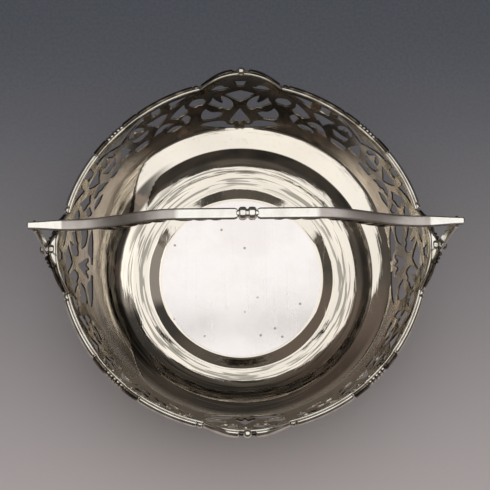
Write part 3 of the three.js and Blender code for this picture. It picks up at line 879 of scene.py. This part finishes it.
def bow_bar():
    """One half of the bow: a softened strap, blunt at the collar and round at its tip.

    Gives the strap and which of its faces are its edges, painted dark as dark reflection.
    """
    rings, edge = [], []
    tip_start = BAR_END - BAR_ROUND
    for x in np.concatenate([[BAR_START], np.linspace(BAR_START + 0.25, tip_start, 110),
                             BAR_END - BAR_ROUND * (1 - np.sin(np.linspace(0.2, 1.5, 7)))]):
        tip = math.sqrt(max(0.02, 1 - max(0.0, (x - tip_start) / 0.82) ** 2))
        neck = 0.82 + 0.18 * float(smooth_step(x, BAR_START, BAR_START + 0.8))
        shape = super_ellipse(bow_half_width(x) * tip * neck, BAR_HALF_THICKNESS * tip, 3.8, 28)
        rings.append(np.stack([np.full(len(shape), x), shape[:, 0],
                               bow_height(x) + shape[:, 1]], 1))
        side = np.abs(shape[:, 0]) > 0.93 * np.abs(shape[:, 0]).max()
        edge += (side & np.roll(side, -1)).tolist()
    size = len(shape)
    return skin(rings), edge[:-size] + [False] * 2 * size


def bow_neck():
    """The stub that enters the collar."""
    return tube_round([(1.0, 2.2), (1.15, 2.3), (1.15, 3.3), (0.9, 3.5)], 20,
                      (0, 0, HANDLE_TOP))


def bow_leg():
    """A strap from the eye up into the bar, with a raised line along each edge."""
    half = LEG_SECTION
    section = (half + [(y, -t) for y, t in half[::-1]] + [(-y, -t) for y, t in half[1:]]
               + [(-y, t) for y, t in half[::-1][:-1]])
    rise = bow_height(BAR_END) - 0.4 - PIVOT_LEVEL
    return skin([[(EYE_MIDDLE + LEG_LEAN * share + t, y, PIVOT_LEVEL + rise * share)
                  for y, t in section] for share in np.linspace(0, 1, 26)])


def bow_eye():
    half = [(1.0, EYE_HALF), (1.75, EYE_HALF), (1.93, 0.42), (EYE_RADIUS, 0.25)]
    profile = [(radius, -along) for radius, along in half] + half[::-1]
    return tube_round(profile, 40, (EYE_MIDDLE, 0, PIVOT_LEVEL))


def leaf(base, tip, drop, half_width):
    """A pointed lobe that leaves the bar's underside and points back to the collar."""
    root = BAR_HALF_THICKNESS * 0.6  # how far under the bar's middle it starts
    rings = []
    for share in np.linspace(0, 1, 22):
        x = base + (tip - base) * share
        middle = bow_height(x) - root - (drop - root) * share ** 1.6
        width = half_width * (0.72 + 0.28 * min(1, 2 * share)) * math.sqrt(1 - share ** 5) + 0.06
        shape = super_ellipse(width, 0.42 * (1 - 0.7 * share) + 0.04, 1.7, 16)
        curl = 0.16 * np.abs(shape[:, 0]) ** 2 / half_width
        rings.append(np.stack([np.full(16, x), shape[:, 0], middle + shape[:, 1] + curl], 1))
    return skin(rings)


def handle_halves(finish):
    for name, side in SIDES:
        bar, painted_dark_faces = bow_bar()
        plain = joined([bow_neck(), bow_leg(), bow_eye()])
        leaves = joined([leaf(*row) for row in LEAVES])
        # The leaves are painted dark as dark reflection; the neck, leg and eye keep the bright
        # silver.
        painted_dark_faces += [False] * len(plain[1]) + [True] * len(leaves[1])
        shape = mirrored(joined([bar, plain, leaves]), side)
        new_piece(f"bow_{name}", f"handle_half_{name}", shape, finish, painted_dark_faces)


def bow_collar(finish):
    """Two flat reeds with a groove between them."""
    end = [(1.2, -COLLAR_HALF), (1.6, -COLLAR_HALF + 0.03)]
    profile = list(end)
    for reed in (-1, 1):
        for turn in np.linspace(-1, 1, 13):
            bulge = (1 - abs(turn) ** 3.2) ** 0.55
            radius = COLLAR_GROOVE + (COLLAR_RADIUS - COLLAR_GROOVE) * bulge
            profile.append((radius, reed * REED_MIDDLE + REED_HALF * turn))
    profile += [(radius, -along) for radius, along in end[::-1]]
    new_piece("bow_collar", "handle_collar", tube_round(profile, 48, (0, 0, HANDLE_TOP)), finish)


# Materials


class Nodes:
    """Short calls for building a material's nodes; a value is a number, a colour or a link."""

    def __init__(self, owner):
        self.owner = owner
        self.tree = owner.node_tree

    def feed(self, socket, value):
        if isinstance(value, bpy.types.NodeSocket):
            self.tree.links.new(value, socket)
        else:
            socket.default_value = (*value, 1) if socket.type == "RGBA" else value

    def make(self, kind, inputs, **settings):
        node = self.tree.nodes.new("ShaderNode" + kind)
        for key, value in settings.items():
            setattr(node, key, value)
        for key, value in inputs.items():
            self.feed(node.inputs[key], value)
        return node

    def math(self, operation, *values):
        """An operation on one or two values, and then on its result and the next value."""
        inputs, further = dict(enumerate(values[:2])), values[2:]
        result = self.make("Math", inputs, operation=operation).outputs[0]
        return self.math(operation, result, *further) if further else result

    def times(self, *values):
        return self.math("MULTIPLY", *values)

    def plus(self, *values):
        return self.math("ADD", *values)

    def most(self, *values):
        return self.math("MAXIMUM", *values)

    def ramp(self, value, low, high, start=0.0, end=1.0):
        return self.make("MapRange", {"Value": value, "From Min": low, "From Max": high,
                                      "To Min": start, "To Max": end},
                         interpolation_type="SMOOTHSTEP").outputs["Result"]

    def span(self, value, start, full, fade, end):
        """1 between two soft edges, 0 outside them."""
        return self.times(self.ramp(value, start, full), self.ramp(value, end, fade))

    def noise(self, vector, scale, detail=2.0):
        return self.make("TexNoise", {"Vector": vector, "Scale": scale,
                                      "Detail": detail}).outputs["Fac"]

    def patches(self, vector, scale, detail, low, high, start=0.0, end=1.0):
        """Noise with its contrast drawn out."""
        return self.ramp(self.noise(vector, scale, detail), low, high, start, end)

    def mix(self, share, first, second):
        return self.make("Mix", {0: share, 6: first, 7: second}, data_type="RGBA").outputs[2]

    def place(self):
        """The point in the frame, and its x, y and z."""
        place = self.make("TexCoord", {}).outputs["Object"]
        return place, *self.make("SeparateXYZ", {0: place}).outputs

    def off_axis(self, x, y):
        return self.math("SQRT", self.plus(self.times(x, x), self.times(y, y)))

    def finish(self, colour, roughness, *bumps):
        """The material, with bumps laid on each other, given as (height, metres)."""
        values = {"Base Color": colour, "Roughness": roughness}
        for height, distance in bumps:
            below = {"Normal": values["Normal"]} if "Normal" in values else {}
            bump = self.make("Bump", {"Strength": 1.0, "Distance": distance, "Height": height,
                                      **below})
            values["Normal"] = bump.outputs["Normal"]
        for key, value in values.items():
            self.feed(self.tree.nodes["Principled BSDF"].inputs[key], value)
        return self.owner


def new_material(name, metallic=1.0):
    material = bpy.data.materials.new(name)
    material.use_nodes = True
    material.node_tree.nodes["Principled BSDF"].inputs["Metallic"].default_value = metallic
    return Nodes(material)


def scratches(n, place, scale):
    """Fine crossing hairlines, 0 to 1."""
    return n.most(*(
        n.patches(n.make("Mapping", {
            "Vector": place, "Rotation": (turn * 0.7, turn * 0.4, turn),
            "Scale": (scale, scale * 0.035, scale * 0.5),
        }).outputs[0], 1.0, 1.0, 0.66, 0.72)
        for turn in (0.35, 1.45, 2.5)))


def bowl_shade(n, place, x, y, z, rings):
    """Painted shade and dark reflections on the wall: how dark they are, and their colour."""
    towards_back = n.math("DIVIDE", y, FRET_RADIUS * MM)
    ends = n.ramp(n.times(towards_back, towards_back), 0.2, 0.62)
    # Painted dark reflection in the gallery: strongest at the back, faint at the front, none at the
    # sides.
    gallery = n.times(n.ramp(z, 0.0238, 0.0248), ends,
                      n.ramp(towards_back, -0.1, 0.1, 0.12, 0.93))
    # Painted dark reflection on the front wall.
    front = n.times(n.ramp(towards_back, -0.25, -0.62), n.span(z, 0.0117, 0.0130, 0.0208, 0.0228))
    # Painted dark belts round the wall, deeper and wider on the left.
    belt = n.span(z, 0.0138, 0.0146, 0.0165, 0.0171)
    left_belt = n.times(n.span(z, 0.0138, 0.0146, 0.0176, 0.0187), n.ramp(x, -0.022, -0.034))
    shade = n.most(gallery, n.times(front, 0.6), n.times(belt, 0.6), n.times(left_belt, 0.9))
    brown = n.patches(place, 130.0, 3.0, 0.5, 0.66)
    dark = n.mix(brown, (0.035, 0.029, 0.023), (0.16, 0.11, 0.08))
    # Painted pale streaks of reflection across the dark front wall.
    streaks = n.times(n.patches(rings, 0.8, 2.0, 0.52, 0.6), front)
    return shade, n.mix(streaks, dark, (0.40, 0.34, 0.27))


def worn_base(n, place):
    """Colour of the base disc: pale and worn, with a few tarnish specks."""
    worn = n.mix(n.patches(place, 60.0, 4.0, 0.4, 0.7), (0.92, 0.875, 0.86), (0.86, 0.81, 0.79))
    spots = n.make("TexVoronoi", {"Scale": 105.0}, feature="F1", voronoi_dimensions="2D")
    n.feed(spots.inputs["Vector"], place)
    speck = n.times(n.ramp(spots.outputs["Distance"], 0.062, 0.035),
                    n.patches(place, 64.0, 1.0, 0.5, 0.53))
    return n.mix(n.times(speck, 0.8), worn, (0.30, 0.25, 0.16))


def bowl_silver():
    """Polished silver, worn matt and specked on the base, tarnished in the gallery, with painted
    shade and dark reflections on the wall and painted dark rings round its foot.
    """
    n = new_material("bowl_silver")
    place, x, y, z = n.place()
    radius = n.off_axis(x, y)
    far = n.most(radius, 1e-4)

    def round_noise(around, along):
        """Coordinates that run round the bowl and along its profile, with no seam."""
        return n.make("CombineXYZ", {
            0: n.times(n.math("DIVIDE", x, far), around),
            1: n.times(n.math("DIVIDE", y, far), around),
            2: n.times(n.plus(z, radius), along)}).outputs[0]

    rings = round_noise(2.5, 1100.0)
    lines = scratches(n, place, 900.0)
    disc = n.times(n.ramp(radius, 0.0284, 0.0279), n.span(z, 0.0084, 0.0088, 0.0092, 0.0096))
    metal = n.mix(n.patches(place, 38.0, 3.0, 0.35, 0.7), (0.86, 0.80, 0.70), (0.80, 0.74, 0.645))
    gallery = n.times(n.ramp(z, 0.024, 0.040), n.patches(place, 90.0, 4.0, 0.42, 0.68))
    metal = n.mix(n.times(gallery, 0.3), metal, (0.42, 0.39, 0.36))
    # Painted shade and dark reflections laid over the metal.
    shade, dark = bowl_shade(n, place, x, y, z, rings)
    metal = n.mix(shade, metal, dark)
    # Painted dark reflection in thin rings round the foot of the wall.
    lined = n.times(n.patches(rings, 1.0, 1.0, 0.51, 0.58),
                    n.span(radius, 0.0325, 0.0345, 0.0395, 0.0425))
    metal = n.mix(n.times(lined, 0.72), metal, (0.17, 0.16, 0.13))
    front_gallery = n.times(n.ramp(y, -0.0228, -0.04275), n.ramp(z, 0.0215, 0.0235))
    rough = n.plus(n.patches(place, 420.0, 3.0, 0.3, 0.75, 0.05, 0.085), n.times(lines, 0.05),
                   n.times(disc, 0.16), n.times(front_gallery, 0.25))
    wall = n.ramp(radius, 0.029, 0.036)
    return n.finish(n.mix(disc, metal, worn_base(n, place)), rough,
                    (n.times(n.noise(round_noise(5.0, 170.0), 1.0, 1.5), wall), 0.00009),
                    (n.noise(place, 60.0, 1.0), 0.00003),
                    (n.times(n.noise(rings, 1.0), wall), 0.000018), (lines, 0.000004))


def painted_dark_silver():
    """Silver painted dark as shade and dark reflection: in recesses, between beads, on sawn edges,
    and on reeds, ears and leaves; patches near the back and front carry painted highlights.
    """
    n = new_material("painted_dark_silver")
    place, x, y, _ = n.place()
    # Painted shade and dark reflection, in dark brown patches.
    dark = n.mix(n.patches(place, 300.0, 4.0, 0.42, 0.7), (0.085, 0.072, 0.055),
                 (0.26, 0.22, 0.17))
    # Painted highlights: pale patches inside the rim's line towards the back and front.
    bright = n.times(n.ramp(n.off_axis(x, y), 0.0586, 0.0579),
                     n.ramp(n.math("ABSOLUTE", y), 0.026, 0.040),
                     n.patches(place, 120.0, 2.0, 0.44, 0.52))
    return n.finish(n.mix(bright, dark, (0.66, 0.60, 0.48)),
                    n.patches(place, 700.0, 3.0, 0.3, 0.75, 0.14, 0.3),
                    (n.noise(place, 260.0), 0.00003))


def worked_silver(name, light, dark, low, high, last_touch):
    """Polished silver for cast and drawn pieces, with patches of darker tone and hairlines.

    last_touch gives the final colour and what the roughness gains.
    """
    n = new_material(name)
    place, x, _, z = n.place()
    tone = n.patches(place, 220.0, 4.0, 0.4, 0.72)
    lines = scratches(n, place, 1400.0)
    colour, duller = last_touch(n, x, z, tone, n.mix(tone, light, dark))
    rough = n.plus(n.patches(place, 600.0, 3.0, 0.3, 0.75, low, high), n.times(lines, 0.06),
                   duller)
    return n.finish(colour, rough, (n.noise(place, 190.0, 1.0), 0.00002), (lines, 0.000004))


def satin_and_shaded_slopes(n, x, z, tone, colour):
    """The bow is bright on its flats; along its slopes it is satin, with more roughness, and
    painted greyer as shade.
    """
    slope = n.times(n.span(n.math("ABSOLUTE", x), 0.0205, 0.0225, 0.0564, 0.0572),
                    n.ramp(z, 0.0815, 0.0835))
    # Painted shade: the slopes' greyer colour.
    slope_shade = n.mix(tone, (0.50, 0.455, 0.425), (0.42, 0.38, 0.35))
    return n.mix(slope, colour, slope_shade), n.times(slope, 0.22)


def dark_hollows(strength):
    """Rim and pins are darker in their hollows."""
    def last_touch(n, x, z, tone, colour):
        crease = n.ramp(n.make("NewGeometry", {}).outputs["Pointiness"], 0.5, 0.42)
        return n.mix(n.times(crease, strength), colour, (0.16, 0.12, 0.09)), 0.0
    return last_touch


def studio_paper():
    """Seamless studio paper with painted light: pale and warm towards the camera, falling off to
    dark and cool away from it.
    """
    n = new_material("studio_paper", metallic=0.0)
    n.feed(n.tree.nodes["Principled BSDF"].inputs["Specular IOR Level"], 0.1)
    place, _, y, _ = n.place()
    # Painted falloff of light along Y, from a pale pool in front to the dark back.
    colour = n.mix(n.ramp(y, 0.115, -0.14), (0.106, 0.117, 0.142), (0.77, 0.70, 0.70))
    grain = n.times(n.patches(place, 900.0, 3.0, 0.3, 0.7), 0.05)
    return n.finish(n.mix(grain, colour, (0.5, 0.5, 0.5)), 0.9)


# Floor, light and camera


def studio_floor():
    half = 4.0
    mesh = bpy.data.meshes.new("studio_floor")
    corners = [(-half, -half, 0), (half, -half, 0), (half, half, 0), (-half, half, 0)]
    mesh.from_pydata(corners, [], [(0, 1, 2, 3)])
    mesh.materials.append(studio_paper())
    floor = bpy.data.objects.new("studio_floor", mesh)
    bpy.context.scene.collection.objects.link(floor)


def softbox():
    """One wide overhead softbox, placed in metres."""
    height, left, right, near, far = 1.0, -0.95, 1.0, -0.66, 0.84
    radiance = 1.0
    light = bpy.data.lights.new("softbox", "AREA")
    light.shape = "RECTANGLE"
    light.size, light.size_y = right - left, far - near
    light.energy = radiance * math.pi * light.size * light.size_y
    lamp = bpy.data.objects.new("softbox", light)
    lamp.location = ((left + right) / 2, (near + far) / 2, height)
    bpy.context.scene.collection.objects.link(lamp)


def world_light():
    """The dim studio round the softbox, with a warm wall on one side and a paler one opposite."""
    world = bpy.data.worlds.new("studio")
    bpy.context.scene.world = world
    world.use_nodes = True
    n = Nodes(world)
    way = n.make("TexCoord", {}).outputs["Generated"]
    colour = n.mix(n.patches(way, 2.2, 2.0, 0.35, 0.65), (0.052, 0.049, 0.047),
                   (0.115, 0.103, 0.092))
    for towards, edge, core, tint in (
            ((-0.56, 0.66, 0.5), 0.90, 0.95, (0.15, 0.12, 0.105)),
            ((0.80, 0.12, 0.58), 0.93, 0.965, (0.30, 0.28, 0.27))):
        near = n.make("VectorMath", {0: way, 1: Vector(towards).normalized()},
                      operation="DOT_PRODUCT").outputs["Value"]
        colour = n.mix(n.ramp(near, edge, core), colour, tint)
    n.feed(world.node_tree.nodes["Background"].inputs["Color"], colour)


def photo_camera():
    """The photograph's camera, solved from the rim's four-fold symmetry."""
    target = Vector((0.45, 2.2, RIM_LEVEL)) * MM
    azimuth, elevation, roll = (math.radians(v) for v in (-6.54, 76.0, -5.69))
    distance = 0.523
    focal_pixels, image_pixels, sensor = 1580.0, 490.0, 36.0
    back = Vector((math.sin(azimuth) * math.cos(elevation),
                   -math.cos(azimuth) * math.cos(elevation), math.sin(elevation)))
    level_right = (-back).cross(Vector((0, 0, 1))).normalized()
    level_up = level_right.cross(-back)
    right = level_right * math.cos(roll) - level_up * math.sin(roll)
    up = level_right * math.sin(roll) + level_up * math.cos(roll)
    data = bpy.data.cameras.new("photo_camera")
    data.sensor_width = sensor
    data.lens = focal_pixels / image_pixels * sensor
    data.clip_start, data.clip_end = 0.01, 50
    camera = bpy.data.objects.new("photo_camera", data)
    turn = Matrix((right, up, back)).transposed().to_4x4()
    camera.matrix_world = Matrix.Translation(target + back * distance) @ turn
    bpy.context.scene.collection.objects.link(camera)
    bpy.context.scene.camera = camera


painted_dark_metal = painted_dark_silver()
bowl_finish = (bowl_silver(), "basket", "polished_silver")
rim_finish = (worked_silver("rim_silver", (0.84, 0.81, 0.73), (0.60, 0.55, 0.47), 0.07, 0.12,
                            dark_hollows(0.9)), "basket", "applied_silver")
# The pins' silver is painted darker than the rim's, as shade.
pin_finish = (worked_silver("pin_silver", (0.40, 0.36, 0.31), (0.24, 0.21, 0.17), 0.06, 0.10,
                            dark_hollows(0.6)), "basket", "pin_silver")
bow_finish = (worked_silver("bow_silver", (0.90, 0.875, 0.82), (0.80, 0.765, 0.70), 0.10, 0.16,
                            satin_and_shaded_slopes), "handle", "handle_silver")

pierced_bowl(bowl_finish)
collet_foot(bowl_finish)
rim_runs(rim_finish)
corner_mounts(rim_finish)
crest_mounts(rim_finish)
pivot_crests(rim_finish)
pivot_pins(pin_finish)
handle_halves(bow_finish)
bow_collar(bow_finish)

studio_floor()
softbox()
world_light()
photo_camera()

bpy.context.scene.view_settings.view_transform = "Standard"
